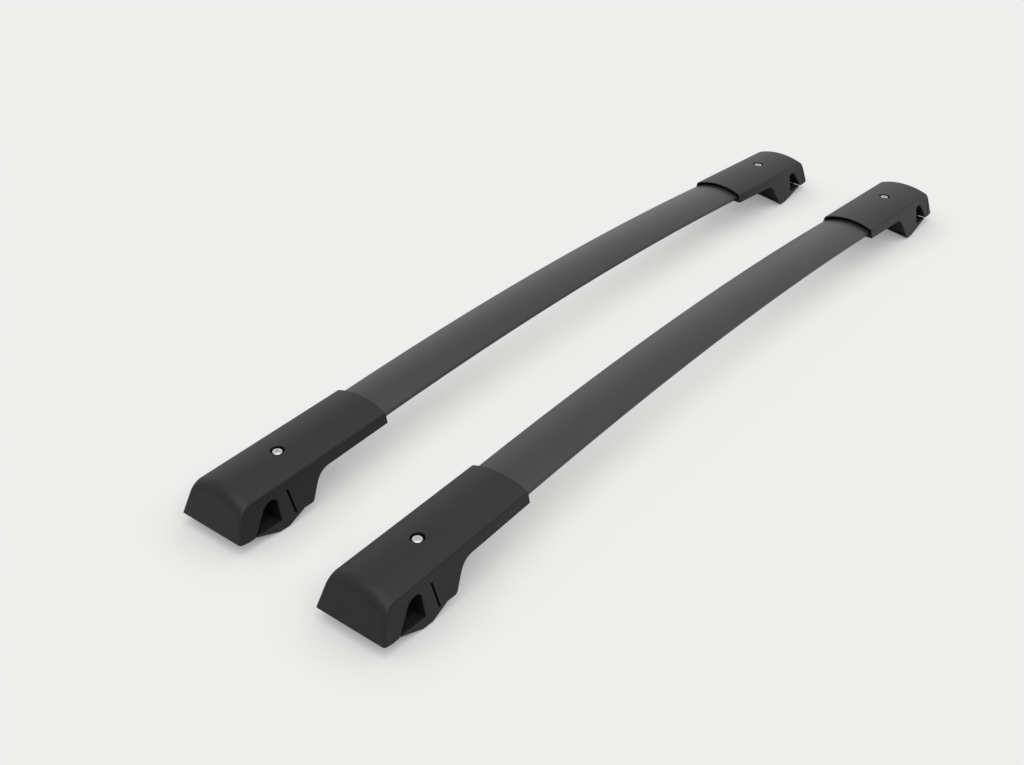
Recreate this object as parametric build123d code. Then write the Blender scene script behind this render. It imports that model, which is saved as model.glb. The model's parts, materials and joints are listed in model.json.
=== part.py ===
from build123d import *
import os
from math import asin, cos, degrees, radians, sin, sqrt, tan

# Pair of roof crossbars, in millimetres.
# +X runs along the bars to the right, +Y to the front, +Z up.
# The origin is on the ground, midway along the bars and midway between them.

# Overall
FRONT_LENGTH = 1130.0
REAR_LENGTH = 1157.0
BAR_SPACING = 191.6
ARCH_RADIUS = 5500.0

# Foot cover, seen from the side: distances run inward from the foot's outer end
FOOT_LENGTH = 204.0
TOP_WIDTH = 67.6
TOP_CROWN = 7.0
TOP_SLOPE = 2.72
CREASE_HEIGHT = 42.6
SIDE_DRAFT = 12.3
END_LEAN = 18.5
END_RADIUS = 14.5
EDGE_RADIUS = 3.0
LIP_HEIGHT = 11.2
LIP_DEPTH = 11.5
LIP_FALL = 1.6
CEILING_HEIGHT = 36.6
HEAD_WALL = 3.5
HEAD_POCKET_START = 20.0
HEAD_POCKET_END = 62.0
HEAD_POCKET_SIDE = 6.0

# Leg of the cover
LEG_FACE = 71.1
LEG_FACE_LEAN = 9.1
LEG_END = 92.4
LEG_BOTTOM = 9.6
LEG_SLOPE = 59.3
LEG_ELBOW_RADIUS = 22.0
LEG_CORNER_RADIUS = 5.0
LEG_WALL = 2.6
LEG_CEILING = 42.0
LEG_SHOULDER = 35.0
LEG_RIB = 2.5

# Sleeve of the cover
SLEEVE_SIDE = 10.9
SLEEVE_SLOPE = 3.4
SLEEVE_WALL = 2.6
INSERT_DEPTH = 72.0
INSERT_END_GAP = 1.0
MOUTH_RELIEF = 1.2
MOUTH_DEPTH = 5.0

# Bar
BAR_WIDTH = 61.5
BAR_EDGE = 4.4
BAR_EDGE_ROUND = 0.8
BAR_BELLY = 0.6
BAR_WALL = 1.8
BAR_NOSE = 6.0
BAR_RIB_OFFSET = 10.0
BAR_TOP_GAP = 1.6
BAR_SIDE_GAP = 1.2
BAR_FLOOR_GAP = 0.2

# Rail saddle and the channel under it
SADDLE_GAP = 0.2
SADDLE_INSET = 0.4
SADDLE_RIM = 1.6
SADDLE_TOE = 19.8
CHANNEL_SLANT = 53.0
CHANNEL_TOP = 34.3
CHANNEL_RADIUS = 14.0

# Clamp jaw: the slit side faces -Y on a left foot, the plain side is opposite
WEB_FACE = 52.2
WEB_GAP = 0.4
WEB_TOP = 36.2
WEB_RIM = 1.2
CURL_REACH = 5.0
CURL_RADIUS = 4.5
HOOK_TOP = 10.4
BASE_GAP = 0.3
JAW_INSET = 0.5
JAW_TRAVEL = 6.0
SLIT_SIDE_GAP = 2.5
SLIT_SIDE_CORNER = 2.5
SLIT_SIDE_HOOK = 21.4
SLIT_SIDE_TIP = 2.4
SLIT_SIDE_BELLY_START = 46.0
SLIT_SIDE_BELLY_END = 59.0
SLIT_SIDE_BASE_END = 84.5
PLAIN_SIDE_GAP = 0.6
PLAIN_SIDE_CORNER = 0.4
PLAIN_SIDE_HOOK = 23.0
PLAIN_SIDE_TIP = 2.0
PLAIN_SIDE_BELLY_START = 72.0
PLAIN_SIDE_BELLY_END = 88.0
PLAIN_SIDE_BASE_END = 93.0
BELLY_RADIUS = 14.0
JAW_EDGE = 1.8
BOSS_WIDTH = 28.0
BOSS_GAP = 0.5
BOSS_TOP = 32.0
BOSS_ROOT = 1.0
PAD_THICKNESS = 1.0
PAD_WIDTH = 66.0
PAD_MARGIN = 1.0
PAD_ROUND = 3.0

# Clamp screw, washer and nut
SCREW_PLACE = 88.0
SCREW_DIAMETER = 6.0
SCREW_LENGTH = 35.0
HEAD_DIAMETER = 11.0
HEAD_HEIGHT = 3.6
HEAD_ROUND = 1.6
HEAD_SINK = 1.0
DRIVE_FLATS = 4.0
DRIVE_DEPTH = 2.2
SCREW_HOLE = 6.6
COUNTERBORE = 14.5
SCREW_TUBE = 15.0
WASHER_DIAMETER = 11.0
WASHER_HOLE = 6.4
WASHER_THICKNESS = 1.2
HEAD_GAP = 0.05
NUT_FLATS = 10.0
NUT_THICKNESS = 5.0
NUT_HEIGHT = 23.5
NUT_GAP = 0.1
THREAD_GAP = 0.05

# Screws that fix the sleeve to the bar
BAR_SCREW_INSET = 54.0
BAR_SCREW_PITCH = 30.0
BAR_SCREW_COUNT = 2
BAR_SCREW_DIAMETER = 3.9
BAR_SCREW_LENGTH = 9.0
BAR_SCREW_HEAD = 8.5
BAR_SCREW_HEAD_HEIGHT = 2.6
BAR_SCREW_HEAD_ROUND = 1.0
BAR_SCREW_DRIVE = 4.6
BAR_SCREW_DRIVE_WIDTH = 1.2
BAR_SCREW_DRIVE_DEPTH = 1.3
BAR_SCREW_GAP = 0.1

# Spare reach of solids that only cut or trim, and what is trimmed off below the ground
REACH = 60.0
GROUND_TRIM = 0.5

# Worked out from the sizes above
TOP_HALF = TOP_WIDTH / 2
CROWN_RADIUS = (TOP_HALF**2 + TOP_CROWN**2) / (2 * TOP_CROWN)
BAR_TOP_RADIUS = CROWN_RADIUS - SLEEVE_WALL - BAR_TOP_GAP
BAR_BELLY_RADIUS = ((BAR_WIDTH / 2) ** 2 + BAR_BELLY**2) / (2 * BAR_BELLY)
BAR_START = FOOT_LENGTH - INSERT_DEPTH
BASE_TOP = LEG_BOTTOM - BASE_GAP
CAVITY_FACE = LEG_FACE + LEG_WALL


def tangent(angle):
    return tan(radians(angle))


def crease(place):
    """Height of the edge between the cover's top and its sides."""
    return CREASE_HEIGHT + place * tangent(TOP_SLOPE)


def ridge(place):
    """Height of the middle of the cover's crowned top."""
    return crease(place) + TOP_CROWN / cos(radians(TOP_SLOPE))


def lip_bottom(place):
    return LIP_HEIGHT - place * LIP_FALL / LIP_DEPTH


def sleeve_bottom(place):
    return crease(FOOT_LENGTH) - SLEEVE_SIDE - (FOOT_LENGTH - place) * tangent(SLEEVE_SLOPE)


def leg_front(height):
    """Face of the leg across the slit from the jaw."""
    return LEG_FACE - (height - LEG_BOTTOM) * tangent(LEG_FACE_LEAN)


def leg_back(height):
    """Sloping inner side of the leg."""
    return LEG_END + (height - LEG_BOTTOM) / tangent(LEG_SLOPE)


def cavity_back(height):
    return leg_back(height) - LEG_WALL / sin(radians(LEG_SLOPE))


def outline(*points):
    return make_face(Polyline(*points, close=True))


def prism(face, half_width):
    """A side view drawn as (place, height), made solid across the foot."""
    return extrude(Plane.XZ * face, amount=half_width, both=True)


def crowned_face(half, drop, depth, draft):
    """Section across the foot: an arc parallel to the crowned top over drafted sides."""
    radius = CROWN_RADIUS - drop
    edge = TOP_CROWN - CROWN_RADIUS + sqrt(radius**2 - half**2)
    low_half = half + (edge + depth) * tangent(draft)
    top = ThreePointArc((-half, edge), (0, TOP_CROWN - drop), (half, edge))
    sides = Polyline((half, edge), (low_half, -depth), (-low_half, -depth), (-half, edge))
    return make_face([*top.edges(), *sides.edges()])


def along_top(face, start, end):
    """A section carried along the cover's sloping top line."""
    run = cos(radians(TOP_SLOPE))
    plane = Plane(origin=(start, 0, crease(start)), x_dir=(0, 1, 0), z_dir=(run, 0, sin(radians(TOP_SLOPE))))
    return extrude(plane * face, amount=(end - start) / run)


def foot_blank(inset):
    """The foot's crowned and drafted form, set in from the outside by the inset."""
    face = crowned_face(TOP_HALF - inset, 0, crease(FOOT_LENGTH) + REACH, SIDE_DRAFT)
    return along_top(face, -REACH, FOOT_LENGTH + REACH)


def foot_envelope():
    """Outer form of the cover, rounded over the end and along the edges."""
    low = LIP_HEIGHT - REACH
    high = ridge(FOOT_LENGTH) + REACH
    lean = tangent(END_LEAN)
    side = outline(
        ((low - LIP_HEIGHT) * lean, low),
        (FOOT_LENGTH, low),
        (FOOT_LENGTH, high),
        ((high - LIP_HEIGHT) * lean, high),
    )
    body = foot_blank(0) & prism(side, REACH * 2)
    end_wall = body.faces().sort_by(Axis.X)[0]
    body = fillet(end_wall.edges().sort_by(Axis.Z)[-1], END_RADIUS)
    rims = []
    for side_face in (body.faces().sort_by(Axis.Y)[0], body.faces().sort_by(Axis.Y)[-1]):
        edges = side_face.edges().sort_by(Axis.Z)[1:]
        rims += [edge for edge in edges if edge.center().X < FOOT_LENGTH - EDGE_RADIUS]
    return fillet(rims, EDGE_RADIUS)


def cover_side():
    """Side view of the cover: lip, recess for saddle and jaw, leg and sleeve."""
    far = FOOT_LENGTH + REACH
    high = ridge(far) + REACH
    slope = 1 / tangent(LEG_SLOPE)
    rise = tangent(SLEEVE_SLOPE)
    elbow = (leg_back(0) + slope * sleeve_bottom(0)) / (1 - slope * rise)
    face = outline(
        (-REACH, lip_bottom(-REACH)),
        (LIP_DEPTH, lip_bottom(LIP_DEPTH)),
        (LIP_DEPTH, CEILING_HEIGHT),
        (leg_front(CEILING_HEIGHT), CEILING_HEIGHT),
        (LEG_FACE, LEG_BOTTOM),
        (LEG_END, LEG_BOTTOM),
        (elbow, sleeve_bottom(elbow)),
        (far, sleeve_bottom(far)),
        (far, high),
        (-REACH, high),
    )
    corners = face.vertices()
    elbow_corner = corners.sort_by_distance((elbow, sleeve_bottom(elbow)))[0]
    face = fillet(elbow_corner, LEG_ELBOW_RADIUS)
    leg_corner = face.vertices().sort_by_distance((LEG_END, LEG_BOTTOM))[0]
    return fillet(leg_corner, LEG_CORNER_RADIUS)


def leg_cavities():
    """Hollow of the leg: the middle takes the jaw's boss, and ribs part it from the sides."""
    face = outline(
        (CAVITY_FACE, 0),
        (CAVITY_FACE, LEG_CEILING),
        (cavity_back(LEG_SHOULDER), LEG_CEILING),
        (cavity_back(LEG_SHOULDER), LEG_SHOULDER),
        (cavity_back(0), 0),
    )
    hollow = prism(face, REACH) & foot_blank(LEG_WALL)
    rib_middle = BOSS_WIDTH / 2 + BOSS_GAP + LEG_RIB / 2
    for side in (-1, 1):
        hollow -= Pos(LEG_FACE, side * rib_middle, 0) * Box(REACH * 2, LEG_RIB, REACH * 2)
    tube_height = LEG_CEILING - BOSS_TOP - BOSS_GAP
    tube_middle = LEG_CEILING - tube_height / 2
    return hollow - Pos(SCREW_PLACE, 0, tube_middle) * Cylinder(SCREW_TUBE / 2, tube_height)


def bar_face(top_gap, side_gap, floor_gap):
    """Section of the bar, grown by gaps. Heights are from the middle of the bar's top."""
    half = BAR_WIDTH / 2 + side_gap
    top_radius = BAR_TOP_RADIUS + top_gap
    edge_top = top_gap - top_radius + sqrt(top_radius**2 - half**2)
    edge_low = -BAR_TOP_RADIUS + sqrt(BAR_TOP_RADIUS**2 - (BAR_WIDTH / 2) ** 2) - BAR_EDGE
    floor = edge_low - BAR_BELLY - floor_gap
    edge_floor = floor + BAR_BELLY_RADIUS - sqrt(BAR_BELLY_RADIUS**2 - half**2)
    top = ThreePointArc((-half, edge_top), (0, top_gap), (half, edge_top))
    right = Line((half, edge_top), (half, edge_floor))
    bottom = ThreePointArc((half, edge_floor), (0, floor), (-half, edge_floor))
    left = Line((-half, edge_floor), (-half, edge_top))
    return make_face([*top.edges(), *right.edges(), *bottom.edges(), *left.edges()])


def bar_top(half_length):
    """Height of the bar's top at mid-span, so that it enters the sleeve at the right height."""
    mouth = half_length - FOOT_LENGTH
    mouth_top = ridge(FOOT_LENGTH) - SLEEVE_WALL - BAR_TOP_GAP
    return mouth_top + ARCH_RADIUS - sqrt(ARCH_RADIUS**2 - mouth**2)


def along_arch(face, half_length, start, end):
    """A bar section carried along the arch between two places, measured from mid-span."""
    top = bar_top(half_length)
    plane = Plane(origin=(0, 0, top), x_dir=(0, 1, 0), z_dir=(1, 0, 0))
    hub = Axis((0, 0, top - ARCH_RADIUS), (0, 1, 0))
    first = degrees(asin(start / ARCH_RADIUS))
    last = degrees(asin(end / ARCH_RADIUS))
    return revolve((plane * face).rotate(hub, first), axis=hub, revolution_arc=last - first)


def bar_screw_planes():
    """Seats of the bar screws on the sleeve's underside, facing into the bar."""
    angle = radians(SLEEVE_SLOPE)
    planes = []
    for index in range(BAR_SCREW_COUNT):
        place = FOOT_LENGTH - BAR_SCREW_INSET + index * BAR_SCREW_PITCH
        seat = (place, 0, sleeve_bottom(place))
        planes.append(Plane(origin=seat, x_dir=(cos(angle), 0, sin(angle)), z_dir=(-sin(angle), 0, cos(angle))))
    return planes


def rod(diameter, low, high):
    """Upright cylinder between two heights."""
    return Pos(0, 0, (low + high) / 2) * Cylinder(diameter / 2, high - low)


def side_edges(body, start, end, low, high):
    """Edges of the two side faces whose middles lie between two places and two heights."""
    faces = body.faces().sort_by(Axis.Y)
    edges = [*faces[0].edges(), *faces[-1].edges()]
    return [edge for edge in edges if start < edge.center().X < end and low < edge.center().Z < high]


def head_top():
    return ridge(SCREW_PLACE) - HEAD_SINK


def washer_seat():
    return head_top() - HEAD_HEIGHT - HEAD_GAP - WASHER_THICKNESS


def make_cover(half_length):
    body = foot_envelope() & prism(cover_side(), REACH * 2)
    pocket_face = crowned_face(TOP_HALF - HEAD_POCKET_SIDE, HEAD_WALL, crease(0) - CEILING_HEIGHT + REACH / 4, 0)
    body -= along_top(pocket_face, HEAD_POCKET_START, HEAD_POCKET_END)
    body -= leg_cavities()
    socket = bar_face(BAR_TOP_GAP, BAR_SIDE_GAP, BAR_FLOOR_GAP)
    socket_start = BAR_START - INSERT_END_GAP - half_length
    mouth = FOOT_LENGTH - half_length
    body -= Pos(half_length, 0, 0) * along_arch(socket, half_length, socket_start, mouth + REACH)
    relief = bar_face(BAR_TOP_GAP + MOUTH_RELIEF, BAR_SIDE_GAP + MOUTH_RELIEF / 2, BAR_FLOOR_GAP)
    body -= Pos(half_length, 0, 0) * along_arch(relief, half_length, mouth - MOUTH_DEPTH, mouth + REACH)
    body -= Pos(SCREW_PLACE, 0, 0) * rod(COUNTERBORE, washer_seat(), ridge(SCREW_PLACE) + REACH)
    body -= Pos(SCREW_PLACE, 0, 0) * rod(SCREW_HOLE, BOSS_TOP, washer_seat() + WASHER_THICKNESS)
    for plane in bar_screw_planes():
        body -= plane * rod(BAR_SCREW_DIAMETER + 2 * BAR_SCREW_GAP, -SLEEVE_WALL, BAR_SCREW_LENGTH)
    return body


def make_saddle():
    bottom = lip_bottom(LIP_DEPTH)
    corner = SADDLE_TOE + (CHANNEL_TOP - bottom) / tangent(CHANNEL_SLANT)
    outer = LIP_DEPTH + SADDLE_GAP
    inner = WEB_FACE - CURL_REACH - WEB_GAP
    face = outline(
        (outer, bottom),
        (SADDLE_TOE, bottom),
        (corner, CHANNEL_TOP),
        (inner, CHANNEL_TOP),
        (inner, CEILING_HEIGHT - SADDLE_GAP),
        (outer, CEILING_HEIGHT - SADDLE_GAP),
    )
    face = fillet(face.vertices().sort_by_distance((corner, CHANNEL_TOP))[0], CHANNEL_RADIUS)
    body = prism(face, REACH) & foot_blank(SADDLE_INSET)
    return fillet(side_edges(body, SADDLE_TOE, WEB_FACE, bottom, CHANNEL_TOP + SADDLE_GAP), SADDLE_RIM)


def jaw_face(gap, corner, hook, tip, belly_start, belly_end, base_end):
    """Side view of the jaw on one side of the foot: hook, belly, base under the leg, web and curl."""
    hook_slope = (HOOK_TOP - tip) / (belly_start - hook)
    base_slope = BASE_TOP / (base_end - belly_end)
    belly_low = (belly_start + GROUND_TRIM / hook_slope, -GROUND_TRIM)
    base_low = (belly_end - GROUND_TRIM / base_slope, -GROUND_TRIM)
    web_corner = (leg_front(WEB_TOP) - gap, WEB_TOP)
    curl = (WEB_FACE, CHANNEL_TOP)
    face = outline(
        (hook, HOOK_TOP),
        (hook, HOOK_TOP - tip),
        belly_low,
        base_low,
        (base_end, BASE_TOP),
        (leg_front(BASE_TOP) - gap, BASE_TOP),
        web_corner,
        (WEB_FACE - CURL_REACH, WEB_TOP),
        (WEB_FACE - CURL_REACH, CHANNEL_TOP),
        curl,
        (WEB_FACE, HOOK_TOP),
    )
    face = fillet(face.vertices().sort_by_distance(curl)[0], CURL_RADIUS)
    face = fillet(face.vertices().sort_by_distance(web_corner)[0], corner)
    face = fillet(face.vertices().sort_by_distance(belly_low)[0], BELLY_RADIUS)
    return fillet(face.vertices().sort_by_distance(base_low)[0], BELLY_RADIUS)


def make_jaw():
    slit_side = jaw_face(
        SLIT_SIDE_GAP,
        SLIT_SIDE_CORNER,
        SLIT_SIDE_HOOK,
        SLIT_SIDE_TIP,
        SLIT_SIDE_BELLY_START,
        SLIT_SIDE_BELLY_END,
        SLIT_SIDE_BASE_END,
    )
    plain_side = jaw_face(
        PLAIN_SIDE_GAP,
        PLAIN_SIDE_CORNER,
        PLAIN_SIDE_HOOK,
        PLAIN_SIDE_TIP,
        PLAIN_SIDE_BELLY_START,
        PLAIN_SIDE_BELLY_END,
        PLAIN_SIDE_BASE_END,
    )
    half = TOP_HALF + crease(FOOT_LENGTH) * tangent(SIDE_DRAFT)
    body = loft([Plane.XZ.offset(half) * slit_side, Plane.XZ.offset(-half) * plain_side], ruled=True)
    ground = Pos(LEG_FACE, 0, REACH * 2) * Box(REACH * 4, REACH * 4, REACH * 4)
    body = body & ground & foot_blank(JAW_INSET)
    body = fillet(side_edges(body, WEB_FACE - WEB_GAP, WEB_FACE + WEB_GAP, HOOK_TOP, CHANNEL_TOP), WEB_RIM)
    body = fillet(side_edges(body, 0, FOOT_LENGTH, -GROUND_TRIM, BASE_TOP - BOSS_ROOT), JAW_EDGE)
    boss_back = cavity_back(LEG_BOTTOM) - BOSS_GAP
    boss = outline(
        (CAVITY_FACE + BOSS_GAP, BASE_TOP - BOSS_ROOT),
        (boss_back, BASE_TOP - BOSS_ROOT),
        (boss_back, LEG_BOTTOM + JAW_TRAVEL),
        (cavity_back(BOSS_TOP - JAW_TRAVEL) - BOSS_GAP, BOSS_TOP),
        (CAVITY_FACE + BOSS_GAP, BOSS_TOP),
    )
    body += prism(boss, BOSS_WIDTH / 2)
    body -= Pos(SCREW_PLACE, 0, 0) * rod(SCREW_HOLE, screw_end() - BOSS_GAP, BOSS_TOP + REACH)
    slot = NUT_FLATS + 2 * NUT_GAP
    slot_height = NUT_THICKNESS + 2 * NUT_GAP
    slot_middle = NUT_HEIGHT + NUT_THICKNESS / 2
    body -= Pos(SCREW_PLACE, 0, slot_middle) * Box(slot, slot, slot_height)
    body -= Pos(SCREW_PLACE + slot / 2, 0, slot_middle) * Box(slot, slot, slot_height)
    return body


def make_jaw_pad():
    start = PLAIN_SIDE_HOOK + PAD_MARGIN
    end = WEB_FACE - PAD_MARGIN
    pad = Pos((start + end) / 2, 0, HOOK_TOP + PAD_THICKNESS / 2) * Box(end - start, PAD_WIDTH, PAD_THICKNESS)
    return fillet(pad.edges().filter_by(Axis.Z), PAD_ROUND)


def screw_end():
    return head_top() - HEAD_HEIGHT - SCREW_LENGTH


def make_screw():
    under_head = head_top() - HEAD_HEIGHT
    head = rod(HEAD_DIAMETER, under_head, head_top())
    head = fillet(head.edges().sort_by(Axis.Z)[-1], HEAD_ROUND)
    drive = extrude(RegularPolygon(DRIVE_FLATS / 2, 6, major_radius=False), amount=DRIVE_DEPTH)
    head -= Pos(0, 0, head_top() - DRIVE_DEPTH) * drive
    return Pos(SCREW_PLACE, 0, 0) * (head + rod(SCREW_DIAMETER, screw_end(), under_head))


def make_washer():
    top = washer_seat() + WASHER_THICKNESS
    ring = rod(WASHER_DIAMETER, washer_seat(), top) - rod(WASHER_HOLE, washer_seat(), top)
    return Pos(SCREW_PLACE, 0, 0) * ring


def make_nut():
    middle = NUT_HEIGHT + NUT_THICKNESS / 2
    block = Pos(0, 0, middle) * Box(NUT_FLATS, NUT_FLATS, NUT_THICKNESS)
    hole = rod(SCREW_DIAMETER + 2 * THREAD_GAP, NUT_HEIGHT, NUT_HEIGHT + NUT_THICKNESS)
    return Pos(SCREW_PLACE, 0, 0) * (block - hole)


def make_bar_screw():
    head = rod(BAR_SCREW_HEAD, -BAR_SCREW_HEAD_HEIGHT, 0)
    head = fillet(head.edges().sort_by(Axis.Z)[0], BAR_SCREW_HEAD_ROUND)
    slot = Pos(0, 0, BAR_SCREW_DRIVE_DEPTH / 2 - BAR_SCREW_HEAD_HEIGHT)
    head -= slot * Box(BAR_SCREW_DRIVE, BAR_SCREW_DRIVE_WIDTH, BAR_SCREW_DRIVE_DEPTH)
    head -= slot * Box(BAR_SCREW_DRIVE_WIDTH, BAR_SCREW_DRIVE, BAR_SCREW_DRIVE_DEPTH)
    return head + rod(BAR_SCREW_DIAMETER, 0, BAR_SCREW_LENGTH)


def make_bar_screws():
    return Compound([plane * make_bar_screw() for plane in bar_screw_planes()])


def make_bar(half_length):
    """Hollow arched bar with two ribs inside and holes for its screws."""
    outer = bar_face(0, 0, 0)
    outer = fillet(outer.vertices(), BAR_EDGE_ROUND)
    inner = bar_face(-BAR_WALL, -BAR_NOSE, -BAR_WALL)
    for side in (-1, 1):
        inner -= Pos(side * BAR_RIB_OFFSET, 0) * Rectangle(BAR_WALL, REACH)
    reach = half_length - BAR_START
    body = along_arch(outer - inner, half_length, -reach, reach)
    for plane in bar_screw_planes():
        hole = plane * rod(BAR_SCREW_DIAMETER + 2 * BAR_SCREW_GAP, 0, BAR_SCREW_LENGTH)
        left_hole = Pos(-half_length, 0, 0) * hole
        body -= left_hole
        body -= Rot(0, 0, 180) * left_hole
    return body


def save(name, shape):
    export_step(shape, f"parts/{name}.step")


def make_crossbar(name, length, across):
    """One bar with a left foot and a right foot, which is the same foot turned half round."""
    half_length = length / 2
    foot = {
        "cover": make_cover(half_length),
        "rail_saddle": make_saddle(),
        "clamp_jaw": make_jaw(),
        "jaw_pad": make_jaw_pad(),
        "clamp_screw": make_screw(),
        "washer": make_washer(),
        "clamp_nut": make_nut(),
        "bar_screws": make_bar_screws(),
    }
    save(f"{name}_bar", Pos(0, across, 0) * make_bar(half_length))
    for piece, shape in foot.items():
        save(f"{name}_left_{piece}", Pos(-half_length, across, 0) * shape)
        save(f"{name}_right_{piece}", Pos(half_length, across, 0) * Rot(0, 0, 180) * shape)


os.makedirs("parts", exist_ok=True)
make_crossbar("front", FRONT_LENGTH, BAR_SPACING / 2)
make_crossbar("rear", REAR_LENGTH, -BAR_SPACING / 2)
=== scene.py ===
import json
from math import cos, radians, sin

import bpy
from mathutils import Matrix, Vector

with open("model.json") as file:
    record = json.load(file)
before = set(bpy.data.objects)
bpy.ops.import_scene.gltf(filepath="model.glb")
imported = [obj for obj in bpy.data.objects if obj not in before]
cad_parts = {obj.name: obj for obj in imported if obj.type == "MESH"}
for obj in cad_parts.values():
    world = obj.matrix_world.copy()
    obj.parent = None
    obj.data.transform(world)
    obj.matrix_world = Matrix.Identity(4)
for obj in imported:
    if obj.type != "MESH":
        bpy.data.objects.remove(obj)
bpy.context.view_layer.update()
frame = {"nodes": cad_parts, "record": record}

# The picture: the camera's place in metres, where it looks and how far it is turned
IMAGE_WIDTH = 1024
FOCAL_PIXELS = 1272.2
SENSOR_WIDTH = 36.0
CAMERA_PLACE = Vector((-1.13908, -0.68610, 0.76044))
CAMERA_PITCH = 31.916
CAMERA_YAW = 37.137
CAMERA_ROLL = 1.614

# Floor and light
FLOOR_SIZE = 30.0
FLOOR_WHITE = 0.905
FLOOR_BOUNCE = 0.60
FLOOR_GLOW = 0.866
FLOOR_TINT = (1.0, 1.0, 0.985)
# Painted contact shadow on the floor: the colour the floor's glow darkens to where ambient occlusion is
# full, and how far from the object it reaches
PAINTED_SHADOW_DARK = (0.30, 0.30, 0.30)
PAINTED_SHADOW_REACH = 0.06
SHADOW_SHARE = 0.20
SKY_STRENGTH = 0.50
BACK_YAW = 37.137
BACK_STRENGTH = 0.30
BACK_FALL = 3.0
SUN_STRENGTH = 1.32
SUN_SPREAD = 75.0
SUN_TILT = (12.0, -8.0, 0.0)

# How far the light is softened over sharp edges, in metres
PLASTIC_EDGE = 0.0006
COAT_EDGE = 0.0004
STEEL_EDGE = 0.0002
EDGE_SAMPLES = 6

# Grain of the surfaces: how many bumps to a metre
FINE_GRAIN = 2600.0
COAT_GRAIN = 3400.0
RUBBER_GRAIN = 900.0
STREAK_GRAIN = 900.0
MOTTLE = 28.0
FINE_DETAIL = 3.0
SOFT_DETAIL = 2.0
STREAK_STRETCH = (1.0, 1.0, 9.0)
MIDDLE_START = 0.3
MIDDLE_END = 0.7

# Plastic, rubber and coat: darkest and lightest shade, depth of the grain in metres, roughness and gloss
HOUSING_SHADE = (0.0095, 0.0120)
HOUSING_DEPTH = 0.00009
JAW_SHADE = (0.0110, 0.0140)
JAW_DEPTH = 0.00006
PLASTIC_ROUGH = (0.34, 0.50)
PLASTIC_GLOSS = 0.45
RUBBER_SHADE = (0.0110, 0.0140)
RUBBER_DEPTH = 0.00004
RUBBER_ROUGH = (0.40, 0.56)
RUBBER_GLOSS = 0.42
COAT_SHADE = (0.022, 0.026)
COAT_DEPTH = 0.00006
COAT_ROUGH = (0.28, 0.40)
COAT_GLOSS = 0.72

# Steel: darkest and lightest shade, and roughness
STREAK_DEPTH = 0.00001
BRIGHT_SHADE = (0.72, 0.86)
BRIGHT_ROUGH = (0.18, 0.34)
PLATED_SHADE = (0.48, 0.60)
PLATED_ROUGH = (0.28, 0.42)
BLACK_SHADE = (0.030, 0.045)
BLACK_ROUGH = (0.34, 0.48)


def nodes_of(name):
    """A new material with its Principled shader."""
    material = bpy.data.materials.new(name)
    material.use_nodes = True
    tree = material.node_tree
    return material, tree, tree.nodes["Principled BSDF"]


def noise(tree, scale, detail=SOFT_DETAIL, stretch=None):
    """Noise in metres of the object's own frame, longer along one axis where stretched."""
    place = tree.nodes.new("ShaderNodeTexCoord")
    texture = tree.nodes.new("ShaderNodeTexNoise")
    texture.inputs["Scale"].default_value = scale
    texture.inputs["Detail"].default_value = detail
    source = place.outputs["Object"]
    if stretch:
        mapping = tree.nodes.new("ShaderNodeMapping")
        mapping.inputs["Scale"].default_value = stretch
        tree.links.new(source, mapping.inputs["Vector"])
        source = mapping.outputs["Vector"]
    tree.links.new(source, texture.inputs["Vector"])
    return texture.outputs["Fac"]


def ramp(tree, source, low, high, start=MIDDLE_START, end=MIDDLE_END):
    """Colours from low to high as the source goes from start to end."""
    node = tree.nodes.new("ShaderNodeValToRGB")
    node.color_ramp.elements[0].position = start
    node.color_ramp.elements[1].position = end
    node.color_ramp.elements[0].color = (*low, 1.0)
    node.color_ramp.elements[1].color = (*high, 1.0)
    tree.links.new(source, node.inputs["Fac"])
    return node.outputs["Color"]


def span(tree, source, low, high):
    """A number from low to high as the source goes from 0 to 1."""
    node = tree.nodes.new("ShaderNodeMapRange")
    node.inputs["To Min"].default_value = low
    node.inputs["To Max"].default_value = high
    tree.links.new(source, node.inputs["Value"])
    return node.outputs["Result"]


def bump(tree, shader, source, depth, edge):
    """Fine relief of the surface, with softened edges."""
    soft = tree.nodes.new("ShaderNodeBevel")
    soft.samples = EDGE_SAMPLES
    soft.inputs["Radius"].default_value = edge
    node = tree.nodes.new("ShaderNodeBump")
    node.inputs["Distance"].default_value = depth
    tree.links.new(source, node.inputs["Height"])
    tree.links.new(soft.outputs["Normal"], node.inputs["Normal"])
    tree.links.new(node.outputs["Normal"], shader.inputs["Normal"])


def grey(value):
    return (value, value, value)


def grained(name, shade, grain, depth, rough, gloss, edge):
    """Moulded or coated surface: mottled colour, varying gloss and a fine grain."""
    material, tree, shader = nodes_of(name)
    low, high = shade
    mottle = ramp(tree, noise(tree, MOTTLE), grey(low), grey(high))
    tree.links.new(mottle, shader.inputs["Base Color"])
    fine = noise(tree, grain, FINE_DETAIL)
    tree.links.new(span(tree, fine, *rough), shader.inputs["Roughness"])
    bump(tree, shader, fine, depth, edge)
    shader.inputs["Specular IOR Level"].default_value = gloss
    return material


def make_plastic(name, shade, depth):
    return grained(name, shade, FINE_GRAIN, depth, PLASTIC_ROUGH, PLASTIC_GLOSS, PLASTIC_EDGE)


def make_rubber(name):
    return grained(name, RUBBER_SHADE, RUBBER_GRAIN, RUBBER_DEPTH, RUBBER_ROUGH, RUBBER_GLOSS, PLASTIC_EDGE)


def make_coat(name):
    return grained(name, COAT_SHADE, COAT_GRAIN, COAT_DEPTH, COAT_ROUGH, COAT_GLOSS, COAT_EDGE)


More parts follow.
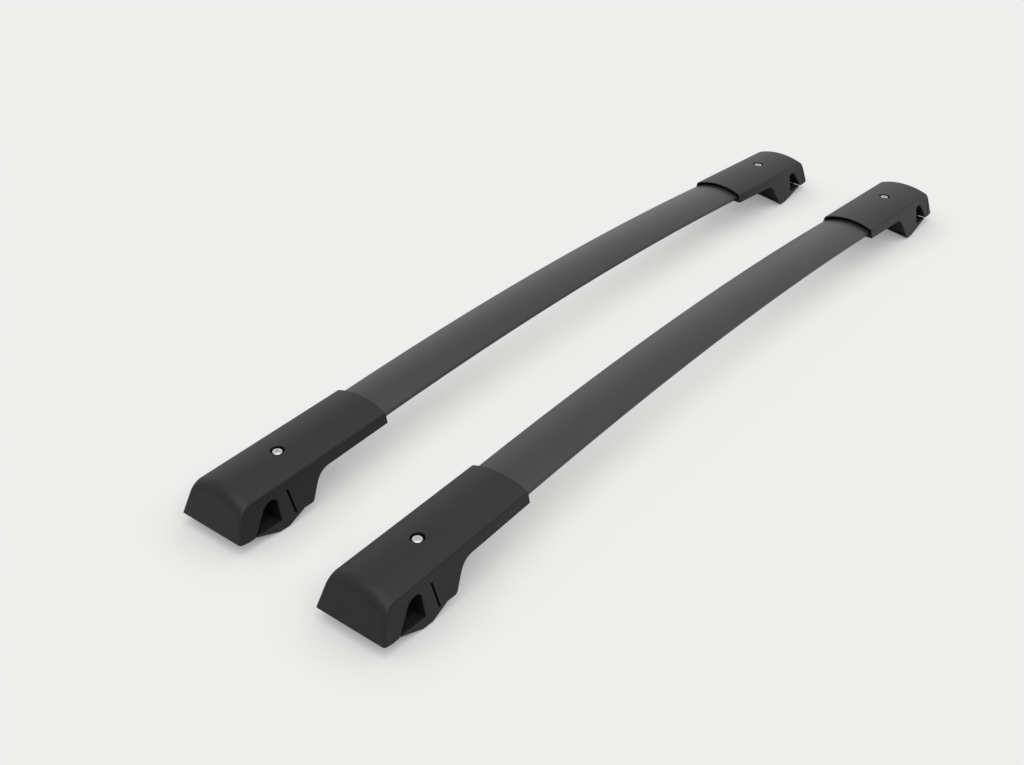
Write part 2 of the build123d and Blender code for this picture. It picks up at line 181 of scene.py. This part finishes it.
def make_steel(name, shade, rough):
    """Turned steel with fine streaks round its axis."""
    material, tree, shader = nodes_of(name)
    low, high = shade
    streaks = noise(tree, STREAK_GRAIN, SOFT_DETAIL, STREAK_STRETCH)
    tree.links.new(ramp(tree, streaks, grey(low), grey(high)), shader.inputs["Base Color"])
    tree.links.new(span(tree, streaks, *rough), shader.inputs["Roughness"])
    bump(tree, shader, streaks, STREAK_DEPTH, STEEL_EDGE)
    shader.inputs["Metallic"].default_value = 1.0
    return material


def make_materials():
    return {
        "housing_plastic": make_plastic("housing_plastic", HOUSING_SHADE, HOUSING_DEPTH),
        "jaw_plastic": make_plastic("jaw_plastic", JAW_SHADE, JAW_DEPTH),
        "saddle_rubber": make_rubber("saddle_rubber"),
        "pad_rubber": make_rubber("pad_rubber"),
        "bar_coat": make_coat("bar_coat"),
        "bright_steel": make_steel("bright_steel", BRIGHT_SHADE, BRIGHT_ROUGH),
        "plated_steel": make_steel("plated_steel", PLATED_SHADE, PLATED_ROUGH),
        "black_steel": make_steel("black_steel", BLACK_SHADE, BLACK_ROUGH),
    }


def matt(tree, value):
    shader = tree.nodes.new("ShaderNodeBsdfDiffuse")
    shader.inputs["Color"].default_value = (value, value, value, 1.0)
    return shader.outputs["BSDF"]


def blend(tree, share, first, second):
    """First shader where the share is 0, second where it is 1."""
    node = tree.nodes.new("ShaderNodeMixShader")
    if isinstance(share, float):
        node.inputs[0].default_value = share
    else:
        tree.links.new(share, node.inputs[0])
    tree.links.new(first, node.inputs[1])
    tree.links.new(second, node.inputs[2])
    return node.outputs["Shader"]


def make_paper():
    """Pale backdrop that glows evenly to the camera with a painted contact shadow from ambient occlusion,
    keeps a share of its real soft shadow and throws little light back up.
    """
    material, tree, shader = nodes_of("floor_paper")
    glow = tree.nodes.new("ShaderNodeEmission")
    glow.inputs["Strength"].default_value = FLOOR_GLOW
    # Painted shadow: ambient occlusion darkens the floor's glow near the feet and bars
    painted_shadow_ao = tree.nodes.new("ShaderNodeAmbientOcclusion")
    painted_shadow_ao.inputs["Distance"].default_value = PAINTED_SHADOW_REACH
    shade = ramp(tree, painted_shadow_ao.outputs["AO"], PAINTED_SHADOW_DARK, FLOOR_TINT, 0.0, 1.0)
    tree.links.new(shade, glow.inputs["Color"])
    seen = blend(tree, SHADOW_SHARE, glow.outputs["Emission"], matt(tree, FLOOR_WHITE))
    path = tree.nodes.new("ShaderNodeLightPath")
    paper = blend(tree, path.outputs["Is Camera Ray"], matt(tree, FLOOR_BOUNCE), seen)
    tree.links.new(paper, tree.nodes["Material Output"].inputs["Surface"])
    tree.nodes.remove(shader)
    return material


def make_floor():
    bpy.ops.mesh.primitive_plane_add(size=FLOOR_SIZE)
    floor = bpy.context.object
    floor.name = "floor"
    floor.data.materials.append(make_paper())


def number(tree, operation, source, value):
    node = tree.nodes.new("ShaderNodeMath")
    node.operation = operation
    node.inputs[1].default_value = value
    tree.links.new(source, node.inputs[0])
    return node.outputs["Value"]


def make_light():
    """Even room light, brighter from the backdrop behind the object, and one wide lamp overhead."""
    world = bpy.data.worlds.new("studio")
    world.use_nodes = True
    tree = world.node_tree
    place = tree.nodes.new("ShaderNodeTexCoord")
    facing = tree.nodes.new("ShaderNodeVectorMath")
    facing.operation = "DOT_PRODUCT"
    facing.inputs[1].default_value = (cos(radians(BACK_YAW)), sin(radians(BACK_YAW)), 0.0)
    tree.links.new(place.outputs["Generated"], facing.inputs[0])
    ahead = number(tree, "MAXIMUM", facing.outputs["Value"], 0.0)
    backdrop = number(tree, "POWER", ahead, BACK_FALL)
    extra = number(tree, "MULTIPLY", backdrop, BACK_STRENGTH)
    level = number(tree, "ADD", extra, SKY_STRENGTH)
    tree.links.new(level, tree.nodes["Background"].inputs["Strength"])
    tree.nodes["Background"].inputs["Color"].default_value = (1.0, 1.0, 1.0, 1.0)
    bpy.context.scene.world = world
    lamp = bpy.data.lights.new("softbox", "SUN")
    lamp.energy = SUN_STRENGTH
    lamp.angle = radians(SUN_SPREAD)
    sun = bpy.data.objects.new("softbox", lamp)
    sun.rotation_euler = [radians(angle) for angle in SUN_TILT]
    bpy.context.scene.collection.objects.link(sun)


def make_camera():
    pitch, yaw, roll = radians(CAMERA_PITCH), radians(CAMERA_YAW), radians(CAMERA_ROLL)
    ahead = Vector((cos(pitch) * cos(yaw), cos(pitch) * sin(yaw), -sin(pitch)))
    level = Vector((sin(yaw), -cos(yaw), 0.0))
    above = level.cross(ahead)
    right = level * cos(roll) + above * sin(roll)
    up = above * cos(roll) - level * sin(roll)
    lens = bpy.data.cameras.new("camera")
    lens.sensor_fit = "HORIZONTAL"
    lens.sensor_width = SENSOR_WIDTH
    lens.lens = FOCAL_PIXELS * SENSOR_WIDTH / IMAGE_WIDTH
    camera = bpy.data.objects.new("camera", lens)
    turn = Matrix((right, up, -ahead)).transposed().to_4x4()
    camera.matrix_world = Matrix.Translation(CAMERA_PLACE) @ turn
    bpy.context.scene.collection.objects.link(camera)
    bpy.context.scene.camera = camera


materials = make_materials()
slot_of = {piece["node"]: piece["material_slot"] for piece in frame["record"]["subparts"]}
for name, node in frame["nodes"].items():
    node.data.materials.clear()
    node.data.materials.append(materials[slot_of[name]])
make_floor()
make_light()
make_camera()
bpy.context.scene.view_settings.view_transform = "Standard"
